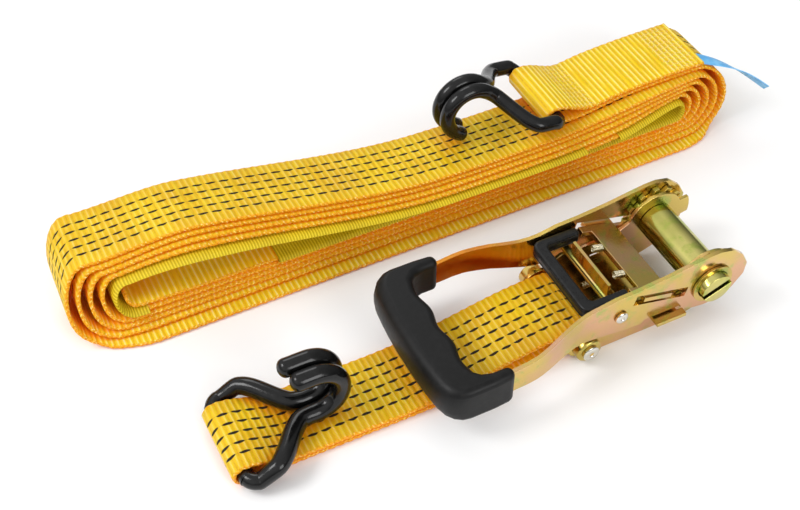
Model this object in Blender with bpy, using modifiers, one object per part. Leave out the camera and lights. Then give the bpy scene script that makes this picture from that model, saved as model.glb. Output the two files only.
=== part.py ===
"""Ratchet tie-down: a ratchet buckle with its short strap and hook, and the long strap wound in a flat coil.

Metres, +Z up. X runs along the buckle from the grip to the spindle, Y across it. The origin is the
middle of the buckle's floor plate, on its underside.
"""

import math

import bmesh
import bpy
from mathutils import Matrix, Vector

MM = 0.001

# Driving dimensions.
GAP = 0.3 * MM
WEB_WIDTH = 50 * MM
WEB_THICK = 2.6 * MM
SLEEVE_WIDTH = 55 * MM
SLEEVE_WALL = 0.8 * MM
SPINDLE = Vector((42 * MM, 0, 31 * MM))
SPINDLE_R = 12 * MM
SPINDLE_END_R = 10.4 * MM
SPINDLE_SLOT = 4.2 * MM
SPINDLE_HALF_LENGTH = 41.5 * MM
WHEEL_R = 22.6 * MM
WHEEL_ROOT_R = 18.4 * MM
WHEEL_TEETH = 13
WHEEL_THICK = 3.2 * MM
PLATE = 2.5 * MM
FRAME_IN = 26 * MM
WHEEL_IN = FRAME_IN + PLATE + GAP
ARM_IN = WHEEL_IN + WHEEL_THICK + GAP
ARM_THICK = 2.7 * MM
ARM_FLARE = 12.7 * MM
BOLT = Vector((-43 * MM, 0, 11.5 * MM))
BOLT_R = 5 * MM
SLEEVE_TUBE_R = 7.5 * MM
ROD_R = 5 * MM
HOOK_A = Vector((-260 * MM, 2 * MM, 8.2 * MM))
HOOK_B = Vector((20 * MM, 140 * MM, 54 * MM))
HOOK_B_TILT = math.radians(34.5)
FOLD_R = ROD_R + GAP + WEB_THICK / 2

# The coil, measured from the spindle's foot: layer pitch, ends, heights.
LAYER = 3.2 * MM
SLEEVE_EXTRA = 0.9 * MM
TURNS = 6
COIL_RIGHT = 119 * MM
COIL_RIGHT_STEP = 7.6 * MM
COIL_LEFT = -357.8 * MM
COIL_LEFT_STEP = 7.2 * MM
FIRST_LAYER_Z = 1.6 * MM
FREE_END_X = -316 * MM
FREE_END_R = 6.6 * MM
CUT_END_X = 100 * MM


def smooth(t):
    t = min(max(t, 0.0), 1.0)
    return t * t * (3 - 2 * t)


# ---------------------------------------------------------------- scene and materials


def clear_scene():
    for obj in list(bpy.data.objects):
        bpy.data.objects.remove(obj, do_unlink=True)


def new_collection(name):
    collection = bpy.data.collections.new(name)
    bpy.context.scene.collection.children.link(collection)
    return collection


def material(name, colour, roughness, metallic):
    mat = bpy.data.materials.new(name)
    mat.use_nodes = True
    shader = mat.node_tree.nodes["Principled BSDF"]
    shader.inputs["Base Color"].default_value = (*colour, 1)
    shader.inputs["Roughness"].default_value = roughness
    shader.inputs["Metallic"].default_value = metallic
    return mat


clear_scene()
PARTS = new_collection("ratchet_tie_down")
CUTTERS = new_collection("cutters")
MATERIALS = {
    "zinc": material("zinc_yellow_passivated_steel", (0.72, 0.62, 0.33), 0.3, 1.0),
    "rubber": material("black_grip_moulding", (0.02, 0.02, 0.022), 0.5, 0.0),
    "coated": material("black_dipped_rod", (0.01, 0.01, 0.01), 0.25, 0.0),
    "webbing": material("yellow_webbing", (0.85, 0.5, 0.01), 0.6, 0.0),
    "sleeve": material("lime_wear_sleeve", (0.7, 0.65, 0.05), 0.6, 0.0),
    "label": material("blue_label", (0.1, 0.42, 0.8), 0.4, 0.0),
}


# ---------------------------------------------------------------- building tools


def finish(name, mesh, slot, pivot=None, smooth_angle=30):
    """Makes the named object from a mesh in world coordinates, with its origin at the pivot."""
    obj = bpy.data.objects.new(name, mesh)
    PARTS.objects.link(obj)
    if pivot is not None:
        mesh.transform(Matrix.Translation(-pivot))
        obj.location = pivot
    mesh.materials.clear()
    mesh.materials.append(MATERIALS[slot])
    mesh.shade_smooth()
    mesh.set_sharp_from_angle(angle=math.radians(smooth_angle))
    return obj


def baked(obj, weld=1e-6):
    """The evaluated mesh of a helper object in world space; the helper is removed."""
    bpy.context.view_layer.update()
    graph = bpy.context.evaluated_depsgraph_get()
    mesh = bpy.data.meshes.new_from_object(obj.evaluated_get(graph))
    mesh.transform(obj.matrix_world)
    bpy.data.objects.remove(obj, do_unlink=True)
    bm = bmesh.new()
    bm.from_mesh(mesh)
    bmesh.ops.remove_doubles(bm, verts=bm.verts, dist=weld)
    bmesh.ops.recalc_face_normals(bm, faces=bm.faces)
    bm.to_mesh(mesh)
    bm.free()
    return mesh


def helper(mesh_or_curve):
    obj = bpy.data.objects.new("helper", mesh_or_curve)
    CUTTERS.objects.link(obj)
    obj.hide_render = True
    obj.display_type = "WIRE"
    return obj


def boolean(mesh, others, operation):
    """Joins or cuts a mesh with the other meshes, in the order given."""
    base = helper(mesh)
    tools = [helper(other) for other in others]
    for tool in tools:
        modifier = base.modifiers.new("boolean", "BOOLEAN")
        modifier.operation = operation
        modifier.object = tool
    result = baked(base)
    for tool in tools:
        bpy.data.objects.remove(tool, do_unlink=True)
    return result


def bevelled(mesh, width, segments=2, angle=35):
    obj = helper(mesh)
    modifier = obj.modifiers.new("bevel", "BEVEL")
    modifier.width = width
    modifier.segments = segments
    modifier.limit_method = "ANGLE"
    modifier.angle_limit = math.radians(angle)
    return baked(obj)


def outline_mesh(loops, thickness, weld=1e-6):
    """A plate in the XY plane from flat outlines, the first the edge and the rest its holes."""
    curve = bpy.data.curves.new("outline", "CURVE")
    curve.dimensions = "2D"
    curve.fill_mode = "BOTH"
    curve.extrude = thickness / 2
    for loop in loops:
        spline = curve.splines.new("POLY")
        spline.points.add(len(loop) - 1)
        spline.use_cyclic_u = True
        for point, (x, y) in zip(spline.points, loop):
            point.co = (x, y, 0, 1)
    return baked(helper(curve), weld)


def upright_plate(loops, thickness, y_middle):
    """The same plate standing in the XZ plane, its middle at y_middle."""
    mesh = outline_mesh(loops, thickness)
    mesh.transform(Matrix.Translation((0, y_middle, 0)) @ Matrix.Rotation(math.pi / 2, 4, "X"))
    return mesh


def flat_plate(loops, thickness, z_middle):
    mesh = outline_mesh(loops, thickness)
    mesh.transform(Matrix.Translation((0, 0, z_middle)))
    return mesh


def box(low, high):
    bm = bmesh.new()
    bmesh.ops.create_cube(bm, size=1)
    size = [h - l for l, h in zip(low, high)]
    centre = [(l + h) / 2 for l, h in zip(low, high)]
    bmesh.ops.scale(bm, vec=size, verts=bm.verts)
    bmesh.ops.translate(bm, vec=centre, verts=bm.verts)
    mesh = bpy.data.meshes.new("box")
    bm.to_mesh(mesh)
    bm.free()
    return mesh


def cross_cylinder(centre, radius, y_low, y_high, segments=32):
    """A cylinder lying along Y."""
    bm = bmesh.new()
    bmesh.ops.create_cone(
        bm, cap_ends=True, segments=segments, radius1=radius, radius2=radius, depth=y_high - y_low
    )
    mesh = bpy.data.meshes.new("cylinder")
    bm.to_mesh(mesh)
    bm.free()
    middle = Vector((centre.x, (y_low + y_high) / 2, centre.z))
    mesh.transform(Matrix.Translation(middle) @ Matrix.Rotation(math.pi / 2, 4, "X"))
    return mesh


def cross_ring(centre, inner, outer, y_low, y_high, segments=32):
    loops = [circle(centre.x, centre.z, r, segments) for r in (outer, inner)]
    return upright_plate(loops, y_high - y_low, (y_low + y_high) / 2)


def rod(points, radius, resolution=3):
    """A round rod along a polyline, with flat ends."""
    curve = bpy.data.curves.new("rod", "CURVE")
    curve.dimensions = "3D"
    curve.bevel_depth = radius
    curve.bevel_resolution = resolution
    curve.use_fill_caps = True
    spline = curve.splines.new("POLY")
    spline.points.add(len(points) - 1)
    for point, place in zip(spline.points, points):
        point.co = (*place, 1)
    return baked(helper(curve))


def arc(cx, cz, radius, start, end, steps):
    """Points from one angle to the other, in degrees."""
    angles = [math.radians(start + (end - start) * i / steps) for i in range(steps + 1)]
    return [(cx + radius * math.cos(a), cz + radius * math.sin(a)) for a in angles]


def circle(cx, cz, radius, segments=32):
    return arc(cx, cz, radius, 0, 360 * (segments - 1) / segments, segments - 1)


def from_spindle(points):
    """Outline points in millimetres, x from the spindle's axis and z from the floor."""
    return [(SPINDLE.x + x * MM, z * MM) for x, z in points]


def lofted_band(rows, thickness, closed=False):
    """A strip through the rows, each a pair of edge points, thickened evenly to both sides."""
    bm = bmesh.new()
    made = [[bm.verts.new(point) for point in row] for row in rows]
    if closed:
        made.append(made[0])
    for row, following in zip(made, made[1:]):
        bm.faces.new((row[0], following[0], following[1], row[1]))
    return thickened(bm, thickness, 0)


def thickened(bm, thickness, offset):
    bmesh.ops.recalc_face_normals(bm, faces=bm.faces)
    mesh = bpy.data.meshes.new("shell")
    bm.to_mesh(mesh)
    bm.free()
    obj = helper(mesh)
    modifier = obj.modifiers.new("solidify", "SOLIDIFY")
    modifier.thickness = thickness
    modifier.offset = offset
    modifier.use_even_offset = True
    return baked(obj)


# ---------------------------------------------------------------- base frame


def frame_plate(side):
    spindle_end = arc(SPINDLE.x, SPINDLE.z, 26 * MM, -84, -28, 7)
    spindle_end += arc(SPINDLE.x, SPINDLE.z, 21.5 * MM, -24, -14, 2)
    spindle_end += arc(SPINDLE.x, SPINDLE.z, 26 * MM, -9, 20, 4)
    spindle_end += arc(SPINDLE.x, SPINDLE.z, 20 * MM, 25, 168, 14)
    top = from_spindle([(-30, 29.5), (-70, 29.5), (-78, 24)])
    boss = arc(BOLT.x, BOLT.z, 11 * MM, 60, 250, 14)
    bottom = from_spindle([(-80, 0), (-12, 0)])
    holes = [
        circle(SPINDLE.x, SPINDLE.z, SPINDLE_END_R + GAP),
        circle(BOLT.x, BOLT.z, BOLT_R + GAP, 24),
        from_spindle([(-47, 15), (-23, 15), (-23, 19), (-47, 19)]),
    ]
    middle = side * (FRAME_IN + PLATE / 2)
    return upright_plate([spindle_end + top + boss + bottom, *holes], PLATE, middle)


def make_base_frame():
    """Two side plates, the floor plate between them and the tab that the lock springs push on."""
    x = SPINDLE.x
    into_plate = FRAME_IN + PLATE / 2
    floor = box((x - 72 * MM, -into_plate, 0), (x - 12 * MM, into_plate, PLATE))
    tab = box((x - 72 * MM, -12 * MM, PLATE / 2), (x - 70 * MM, 12 * MM, 21 * MM))
    window = box((x - 22.5 * MM, 6 * MM, -MM), (x - 18.5 * MM, 22 * MM, 4 * MM))
    mesh = boolean(frame_plate(-1), [frame_plate(1), floor, tab], "UNION")
    mesh = boolean(mesh, [window], "DIFFERENCE")
    finish("base_frame", mesh, "zinc")


def make_anchor():
    """The bolt that holds the short strap, its nut and the tube that the strap turns on."""
    shank = cross_cylinder(BOLT, BOLT_R, -38 * MM, 30 * MM, 24)
    head = cross_cylinder(BOLT, 8 * MM, FRAME_IN + PLATE + GAP, 36 * MM, 24)
    finish("anchor_bolt", boolean(shank, [head], "UNION"), "zinc", BOLT)
    hexagon = circle(BOLT.x, BOLT.z, 7.4 * MM, 6)
    hole = circle(BOLT.x, BOLT.z, BOLT_R + GAP, 24)
    nut = upright_plate([hexagon, hole], 7 * MM, -FRAME_IN - PLATE - GAP - 3.5 * MM)
    finish("anchor_nut", nut, "zinc", BOLT)
    tube = cross_ring(BOLT, BOLT_R + GAP, SLEEVE_TUBE_R, -FRAME_IN + GAP, FRAME_IN - GAP)
    finish("anchor_sleeve", tube, "zinc", BOLT)


def sliding_plate(outline, thickness, tip, angle):
    """A flat plate drawn with its tip edge on x = 0 and its body at -x, tipped up by the angle."""
    mesh = flat_plate([[(x * MM, y * MM) for x, y in outline]], thickness, 0)
    mesh.transform(Matrix.Translation(tip) @ Matrix.Rotation(angle, 4, "Y"))
    return mesh


def mirrored(points):
    """The points, then the same ones at -y in reverse order."""
    return points + [(x, -y) for x, y in reversed(points)]


LOCK_TIP = SPINDLE + Vector((-23.5, 0, -14)) * MM
DRIVE_TIP = SPINDLE + Vector((-30.2, 0, 4.4)) * MM
DRIVE_ANGLE = math.radians(15.3)


def coil_spring_body(start, end, radius):
    """The plain outer shape of a small coil spring."""
    return rod([start, end], radius, 3)


def make_lock_pawl():
    """The plate in the base's slots that holds the wheels, with its two springs."""
    ears = [(0, 35.6), (4, 35.6), (4, 40.5), (-17, 40.5), (-17, 25.5), (-27, 25.5)]
    finish("lock_pawl", sliding_plate(mirrored(ears), 3 * MM, LOCK_TIP, 0), "zinc", LOCK_TIP)
    for side, name in ((-1, "lock_spring_near"), (1, "lock_spring_far")):
        start = LOCK_TIP + Vector((-27.3, side * 8, -0.5)) * MM
        body = coil_spring_body(start, start + Vector((-13.5, 0, 0)) * MM, 2.4 * MM)
        finish(name, body, "zinc", start)


# ---------------------------------------------------------------- spindle


def half_round(radius, turn):
    """One half of a slotted round bar, turned about its axis by some degrees."""
    lift = math.degrees(math.asin(SPINDLE_SLOT / 2 / radius))
    return arc(SPINDLE.x, SPINDLE.z, radius, lift + turn, 180 - lift + turn, 16)


def make_spindle():
    for name, turn in (("spindle_half_upper", 22), ("spindle_half_lower", 202)):
        ends = upright_plate([half_round(SPINDLE_END_R, turn)], 2 * SPINDLE_HALF_LENGTH, 0)
        middle = upright_plate([half_round(SPINDLE_R, turn)], 2 * (FRAME_IN - GAP), 0)
        finish(name, boolean(ends, [middle], "UNION"), "zinc", SPINDLE)
    for side, name in ((-1, "near"), (1, "far")):
        middle = side * (WHEEL_IN + WHEEL_THICK / 2)
        hole = circle(SPINDLE.x, SPINDLE.z, SPINDLE_END_R + GAP)
        wheel = upright_plate([wheel_outline(), hole], WHEEL_THICK, middle)
        finish(f"ratchet_wheel_{side_name(side)}", wheel, "zinc", SPINDLE)
        start = ARM_IN + ARM_THICK + GAP
        ends = sorted((side * start, side * (start + 1.6 * MM)))
        washer = cross_ring(SPINDLE, SPINDLE_END_R + GAP, 14 * MM, *ends)
        finish(f"spindle_washer_{name}", washer, "zinc", SPINDLE)


def side_name(side):
    return "far" if side > 0 else "near"


def wheel_outline():
    """Blunt hooked teeth: a steep face, a short land and a slope down to the root."""
    step = 360 / WHEEL_TEETH
    tooth = [(0.0, WHEEL_ROOT_R), (0.06, WHEEL_R), (0.4, WHEEL_R * 0.985), (0.66, WHEEL_ROOT_R)]
    points = []
    for i in range(WHEEL_TEETH):
        for part, radius in tooth:
            angle = math.radians((i + part) * step)
            points.append(
                (SPINDLE.x + radius * math.cos(angle), SPINDLE.z + radius * math.sin(angle))
            )
    return points


# ---------------------------------------------------------------- handle

ARM_TOP = [
    (-6, 56.2), (-18, 54.6), (-33, 52.2), (-55, 50.2), (-70, 49.6), (-82, 47.4), (-96, 46),
    (-112, 45), (-128, 42.6), (-145, 40.5), (-186, 40),
]
ARM_BOTTOM = [
    (-186, 23), (-145, 23.4), (-128, 24.4), (-112, 25), (-98, 24), (-84, 21.5), (-74, 20.4),
    (-62, 18.6), (-49, 17.6), (-47, 20.5), (-22, 20.5), (-18, 15.4),
]
ARM_END = [
    (-10, 12.8), (-2, 11.6), (8, 12), (17.5, 17.8), (24.6, 27.7), (25.3, 37), (20.2, 46.4),
    (11.4, 54), (2, 56.4),
]
ARM_SLOT = [(-19.5, 28.4), (-17.6, 35.6), (-55.8, 46.3), (-57.8, 38.9)]
FLARE_STATIONS = [-84, -90, -95, -100, -105, -110, -115, -120, -125, -130, -136]
RIVET = SPINDLE + Vector((-65.6, 0, 2.2)) * MM


def flare(x):
    """How far the arm has moved outwards at x."""
    from_axis = (x - SPINDLE.x) / MM
    start, end = FLARE_STATIONS[0], FLARE_STATIONS[-1]
    return ARM_FLARE * smooth((from_axis - start) / (end - start))


def make_arm(side):
    """One flat arm of the handle: round at the spindle, then bent outwards towards the grip."""
    edge = from_spindle(ARM_END + ARM_TOP + ARM_BOTTOM)
    holes = [
        circle(SPINDLE.x, SPINDLE.z, SPINDLE_END_R + GAP),
        circle(RIVET.x, RIVET.z, 3.1 * MM, 16),
        from_spindle(ARM_SLOT),
    ]
    mesh = upright_plate([edge, *holes], ARM_THICK, side * (ARM_IN + ARM_THICK / 2))
    bm = bmesh.new()
    bm.from_mesh(mesh)
    for station in FLARE_STATIONS:
        everything = bm.verts[:] + bm.edges[:] + bm.faces[:]
        place = (SPINDLE.x + station * MM, 0, 0)
        bmesh.ops.bisect_plane(bm, geom=everything, plane_co=place, plane_no=(1, 0, 0), dist=1e-7)
    for vert in bm.verts:
        vert.co.y += side * flare(vert.co.x)
    bm.to_mesh(mesh)
    bm.free()
    finish(f"handle_arm_{side_name(side)}", mesh, "zinc", SPINDLE)


GRIP_BAR = SPINDLE + Vector((-181, 0, 0.5)) * MM
GRIP_BAR_R = 4 * MM


def grip_outline():
    """Seen from above: a bowed bar with an ear at each end, and finger waves on its inner side."""
    half = [(-146.5, 51.6), (-160, 52.6), (-176, 52.6), (-184, 51), (-189, 47), (-192, 38), (-194, 14)]
    outer = half + [(x, -y) for x, y in reversed(half)]
    waves = []
    for i in range(17):
        y = -35 + 70 * i / 16
        waves.append((-168 - 1.2 * math.cos(2 * math.pi * y / 28), y))
    ear = [(-146.5, -43.2), (-158, -43.2), (-164, -41.4), (-167.4, -38)]
    inner = ear + waves + [(x, -y) for x, y in reversed(ear)]
    return [(SPINDLE.x + x * MM, y * MM) for x, y in outer + inner]


def make_grip():
    half_height = 13.2 * MM
    mesh = flat_plate([grip_outline()], 2 * half_height, GRIP_BAR.z)
    mesh = bevelled(mesh, 3.6 * MM, 3, 50)
    cutters = [cross_cylinder(GRIP_BAR, GRIP_BAR_R + GAP, -46 * MM, 46 * MM)]
    for side in (-1, 1):
        inner = ARM_IN + ARM_FLARE - GAP
        ends = sorted((side * inner, side * (inner + ARM_THICK + 2 * GAP)))
        low = (SPINDLE.x - 186.3 * MM, ends[0], 22.7 * MM)
        high = (SPINDLE.x - 140 * MM, ends[1], 40.9 * MM)
        cutters.append(box(low, high))
    mesh = boolean(mesh, cutters, "DIFFERENCE")
    finish("handle_grip", mesh, "rubber", SPINDLE, 50)
    reach = ARM_IN + ARM_FLARE - GAP
    bar = cross_cylinder(GRIP_BAR, GRIP_BAR_R, -reach, reach, 24)
    finish("grip_core_bar", bar, "zinc", SPINDLE)


def make_handle_spacer():
    """The rivet between the arms, with the small plate that the pawl springs push on."""
    outer = ARM_IN + ARM_THICK + GAP
    shank = cross_cylinder(RIVET, 2.8 * MM, -outer - 0.8 * MM, outer + 0.8 * MM, 20)
    parts = [box((RIVET.x - MM, -20 * MM, RIVET.z), (RIVET.x + MM, 20 * MM, 46 * MM))]
    for side in (-1, 1):
        ends = sorted((side * outer, side * (outer + 1.2 * MM)))
        parts.append(cross_cylinder(RIVET, 4.4 * MM, *ends, 20))
    finish("handle_spacer", boolean(shank, parts, "UNION"), "zinc", SPINDLE)


def make_drive_pawl():
    """The sprung plate in the handle's slots that turns the wheels."""
    plate = [(0, 35.6), (-21, 35.6), (-21, 31), (-27, 31), (-27, 25.5), (-20, 25.5)]
    mesh = sliding_plate(mirrored(plate), 3.4 * MM, DRIVE_TIP, DRIVE_ANGLE)
    finish("drive_pawl", mesh, "zinc", DRIVE_TIP)
    along = Vector((-math.cos(DRIVE_ANGLE), 0, math.sin(DRIVE_ANGLE)))
    for side, name in ((-1, "drive_spring_near"), (1, "drive_spring_far")):
        start = DRIVE_TIP + along * 20.3 * MM + Vector((0, side * 12 * MM, 0))
        body = coil_spring_body(start, start + along * 8 * MM, 2.6 * MM)
        finish(name, body, "zinc", start)


def make_release_grip():
    """The black U-shaped finger pull that draws the drive pawl back."""
    x = SPINDLE.x / MM
    outer = [(x - 58, 31.4), (x - 86, 31.4), (x - 90, 28.5)]
    inner = [(x - 82, 22.5), (x - 78.5, 25), (x - 58, 25)]
    outline = outer + [(px, -py) for px, py in reversed(outer)]
    outline += [(px, -py) for px, py in reversed(inner)] + inner
    loop = [(px * MM, py * MM) for px, py in outline]
    mesh = bevelled(flat_plate([loop], 8.5 * MM, 41.5 * MM), 2.2 * MM, 2, 40)
    finish("release_grip", mesh, "coated", DRIVE_TIP, 50)


# ---------------------------------------------------------------- hooks


def hook_points(tip, curl_r=17 * MM, reach=51 * MM, side_gap=5.3 * MM):
    """Half of a double J hook, from the middle of its crossbar to a tip, as (along, across, curl)."""
    half = [(0, 0, 0)]
    half += [(x, y, 0) for x, y in arc(6.5 * MM, 25 * MM, 6.5 * MM, 180, 90, 5)]
    for i in range(1, 9):
        t = i / 9
        along = 12 * MM + (reach - 18 * MM) * t
        across = side_gap + (31.5 * MM - side_gap) * (1 - smooth((t - 0.08) / 0.92))
        half.append((along, across, hump(along)))
    half.append((reach - 4 * MM, side_gap, hump(reach - 4 * MM)))
    base = hump(reach)
    half += [(x, side_gap, base + z) for x, z in arc(reach, curl_r, curl_r, -90, 90, 14)]
    half.append((reach - tip, side_gap, base + 2 * curl_r))
    return half


def hump(along):
    """The arms rise over the strap and come down again before the curl."""
    return 6.2 * MM * smooth(along / (24 * MM)) - 1.8 * MM * smooth(along / MM / 22 - 1.2)


def make_hook(name, origin, along, curl, tip):
    across = curl.cross(along)
    half = hook_points(tip)
    other = [(a, -b, c) for a, b, c in half[1:]]
    points = [origin + along * a + across * b + curl * c for a, b, c in list(reversed(half)) + other]
    finish(name, rod(points, ROD_R, 3), "coated", origin)


# ---------------------------------------------------------------- webbing


def make_short_strap():
    """One closed loop of webbing round the anchor tube and the hook's crossbar."""
    turn = SLEEVE_TUBE_R + GAP + WEB_THICK / 2
    points = arc(BOLT.x, BOLT.z, turn, 80, -90, 12)
    low = HOOK_A.z - FOLD_R
    start, end = BOLT.x - 30 * MM, HOOK_A.x + 8 * MM
    points += [(start + (end - start) * i / 6, low) for i in range(7)]
    points += arc(HOOK_A.x, HOOK_A.z, FOLD_R, -90, -262, 12)
    flat_z = low + WEB_THICK + 2 * GAP
    fold_top, bolt_top = HOOK_A.z + FOLD_R, BOLT.z + turn
    for i in range(1, 26):
        x = HOOK_A.x + (BOLT.x - 4 * MM - HOOK_A.x) * i / 25
        from_fold = smooth((x - HOOK_A.x) / (36 * MM))
        to_bolt = smooth((x - (SPINDLE.x - 205 * MM)) / (117 * MM))
        z = fold_top + (flat_z - fold_top) * from_fold + (bolt_top - flat_z) * to_bolt
        points.append((x, z))
    rows = []
    for x, z in points:
        middle = HOOK_A.y * min(max((BOLT.x - x) / (BOLT.x - HOOK_A.x), 0), 1)
        half = WEB_WIDTH / 2
        rows.append((Vector((x, middle - half, z)), Vector((x, middle + half, z))))
    finish("short_strap", lofted_band(rows, WEB_THICK, closed=True), "webbing", BOLT)


def coil_height(x):
    """Height of the uppermost full layer: low in the middle, bulging before both ends."""
    bulge = 16.5 * MM * smooth((-x / MM - 105) / 175) - 14.5 * MM * smooth((-x / MM - 270) / 86)
    right = 4.6 * MM * smooth((x / MM + 30) / 110)
    return 42 * MM + bulge + right


def upper_z(layer, x):
    return coil_height(x) - (layer - 1) * LAYER - (SLEEVE_EXTRA if layer == TURNS - 1 else 0)


def lower_z(layer):
    extra = SLEEVE_EXTRA * max(0, layer - (TURNS - 2))
    return FIRST_LAYER_Z + (layer - 1) * LAYER + extra


def near_edge(x, z, raised=None):
    """Y of the webbing's near edge. The bottom layer lies furthest out, and the stack leans back."""
    at_end = 9 * smooth((-x / MM - 312) / 40) + 9 * smooth((x / MM - 78) / 40)
    low = 95.4 + at_end + (14 - at_end) * (1 - math.exp(-max(z / MM - 1.6, 0) / 3.4))
    top = 107 + 0.00033 * (x / MM + 57) ** 2 if raised is None else raised
    height = coil_height(x) + (0 if raised is None else LAYER)
    share = min(max(z / height, 0), 1)
    in_middle = smooth((x / MM + 325) / 60) * (1 - smooth((x / MM - 20) / 60))
    lean = 8 * in_middle * smooth((1 - share) / 0.3) * smooth((share - 0.45) / 0.2)
    return (low + (top - 109.4) * share**2 - lean) * MM


def loop_edge(x):
    """Y of the near edge of the sewn loop, which turns slightly towards the hook."""
    return (115 + 4 * smooth((x / MM + 22) / 60)) * MM


def spread(start, end, count):
    return [start + (end - start) * i / count for i in range(count + 1)]


def right_turn(layer):
    """Round the right end, from upper layer (layer - 1) to lower layer (layer)."""
    end = COIL_RIGHT - (layer - 1) * COIL_RIGHT_STEP
    top, bottom = upper_z(layer - 1, end), lower_z(layer)
    half = (top - bottom) / 2
    raised = loop_edge(end) / MM if layer == 1 else None
    ring = [math.radians(90 - 180 * i / 10) for i in range(11)]
    centre = end - half
    places = [(centre + half * math.cos(a), bottom + half + half * math.sin(a)) for a in ring]
    return [(x, near_edge(x, z, raised), z) for x, z in places]


def left_turn(layer):
    """Round the left end, from lower layer to upper layer."""
    end = COIL_LEFT + (layer - 1) * COIL_LEFT_STEP
    bottom = lower_z(layer)
    half = (upper_z(layer, end) - bottom) / 2
    for _ in range(4):
        half = (upper_z(layer, end + half) - bottom) / 2
    ring = [math.radians(-90 - 180 * i / 10) for i in range(11)]
    centre = end + half
    places = [(centre + half * math.cos(a), bottom + half + half * math.sin(a)) for a in ring]
    return [(x, near_edge(x, z), z) for x, z in places]


def free_end():
    """The strap's cut end, curled up inside the sleeve's bend."""
    bottom = lower_z(TURNS)
    points = arc(FREE_END_X, bottom + FREE_END_R, FREE_END_R, -100, -195, 6)
    return [(x, near_edge(x, z), z) for x, z in points]


def coil_runs():
    """The strap's runs in order, as (name, points); a point is (x, near edge y, z)."""
    runs = []
    for layer in range(1, TURNS + 1):
        turn = right_turn(layer)
        runs.append((f"right_{layer}", turn))
        last = layer == TURNS
        end = FREE_END_X if last else left_turn(layer)[0][0]
        xs = spread(turn[-1][0], end, 14)[1:None if last else -1]
        lower = [(x, near_edge(x, lower_z(layer)), lower_z(layer)) for x in xs]
        runs.append((f"lower_{layer}", lower))
        if last:
            runs.append(("free_end", free_end()))
            break
        back = left_turn(layer)
        runs.append((f"left_{layer}", back))
        following = right_turn(layer + 1)
        xs = spread(back[-1][0], following[0][0], 24)[1:-1]
        drop = following[0][2] - upper_z(layer, following[0][0])
        upper = []
        for x in xs:
            z = upper_z(layer, x) + drop * smooth((x - xs[-1]) / (60 * MM) + 1)
            upper.append((x, near_edge(x, z), z))
        runs.append((f"upper_{layer}", upper))
    return runs


def loop_run():
    """From the strap's sewn end, over the hook's crossbar and back along the top to the first turn."""
    fold_x, fold_z = HOOK_B.x - SPINDLE.x, HOOK_B.z
    first = right_turn(1)[0]
    points = []
    for x in spread(CUT_END_X, fold_x + 3 * MM, 14):
        flat = coil_height(x) + 2 * LAYER
        rise = (fold_z + FOLD_R - flat) * smooth((fold_x + 34 * MM - x) / (34 * MM))
        points.append((x, loop_edge(x), flat + rise))
    for x, z in arc(fold_x, fold_z, FOLD_R, 98, 262, 12):
        points.append((x, loop_edge(x), z))
    start = points[-1]
    for x in spread(fold_x + 2 * MM, first[0], 12)[:-1]:
        z = coil_height(x) + LAYER
        z += (start[2] - z) * (1 - smooth((x - fold_x) / (30 * MM)))
        z += (first[2] - z) * smooth((x - first[0]) / (30 * MM) + 1)
        points.append((x, loop_edge(x), z))
    return points


def in_place(x, y, z):
    return Vector((SPINDLE.x + x, y, z))


def far_side(x, y, z):
    """The webbing's far edge: the upper runs sit a little lower there than at the near edge."""
    inwards = 2 * MM * smooth((-x / MM - 285) / 75)
    at_left = smooth((-x / MM - 290) / 60)
    share = 0.08 * (1 - smooth((x / MM + 60) / 150)) * (1 - at_left) + 0.05 * at_left
    drop = share * coil_height(x) * smooth((z / MM - 19.6) / 8)
    return in_place(x + inwards, y, z - drop)


def make_long_strap():
    rows = [(in_place(x, y, z), in_place(x, y + WEB_WIDTH, z)) for x, y, z in loop_run()]
    for _, run in coil_runs():
        rows += [(in_place(x, y, z), far_side(x, y + WEB_WIDTH, z)) for x, y, z in run]
    finish("long_strap", lofted_band(rows, WEB_THICK), "webbing", HOOK_B)


def sleeve_tube(points):
    """A flat woven tube around the webbing, open at both ends."""
    bm = bmesh.new()
    rows = []
    side = (SLEEVE_WIDTH - WEB_WIDTH) / 2
    half = WEB_THICK / 2 + GAP
    for i, (x, y, z) in enumerate(points):
        before, after = points[max(i - 1, 0)], points[min(i + 1, len(points) - 1)]
        along = Vector((after[0] - before[0], 0, after[2] - before[2])).normalized()
        normal = Vector((along.z, 0, -along.x))
        near, far = in_place(x, y - side, z), far_side(x, y + WEB_WIDTH + side, z)
        corners = (near + normal * half, far + normal * half, far - normal * half, near - normal * half)
        rows.append([bm.verts.new(corner) for corner in corners])
    for row, following in zip(rows, rows[1:]):
        for i in range(4):
            j = (i + 1) % 4
            bm.faces.new((row[i], row[j], following[j], following[i]))
    return thickened(bm, SLEEVE_WALL, 1)


def make_sleeves():
    runs = dict(coil_runs())
    outer_end = [p for p in runs["lower_5"] if p[0] < -309 * MM]
    upper = [p for p in runs["upper_5"] if p[0] < 0]
    first = outer_end + runs["left_5"] + upper
    finish("wear_sleeve_left", sleeve_tube(first), "sleeve")
    upper = [p for p in runs["upper_5"] if p[0] > 18 * MM]
    lower = [p for p in runs["lower_6"] if p[0] > -232 * MM]
    second = upper + runs["right_6"] + lower
    finish("wear_sleeve_right", sleeve_tube(second), "sleeve")


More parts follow.
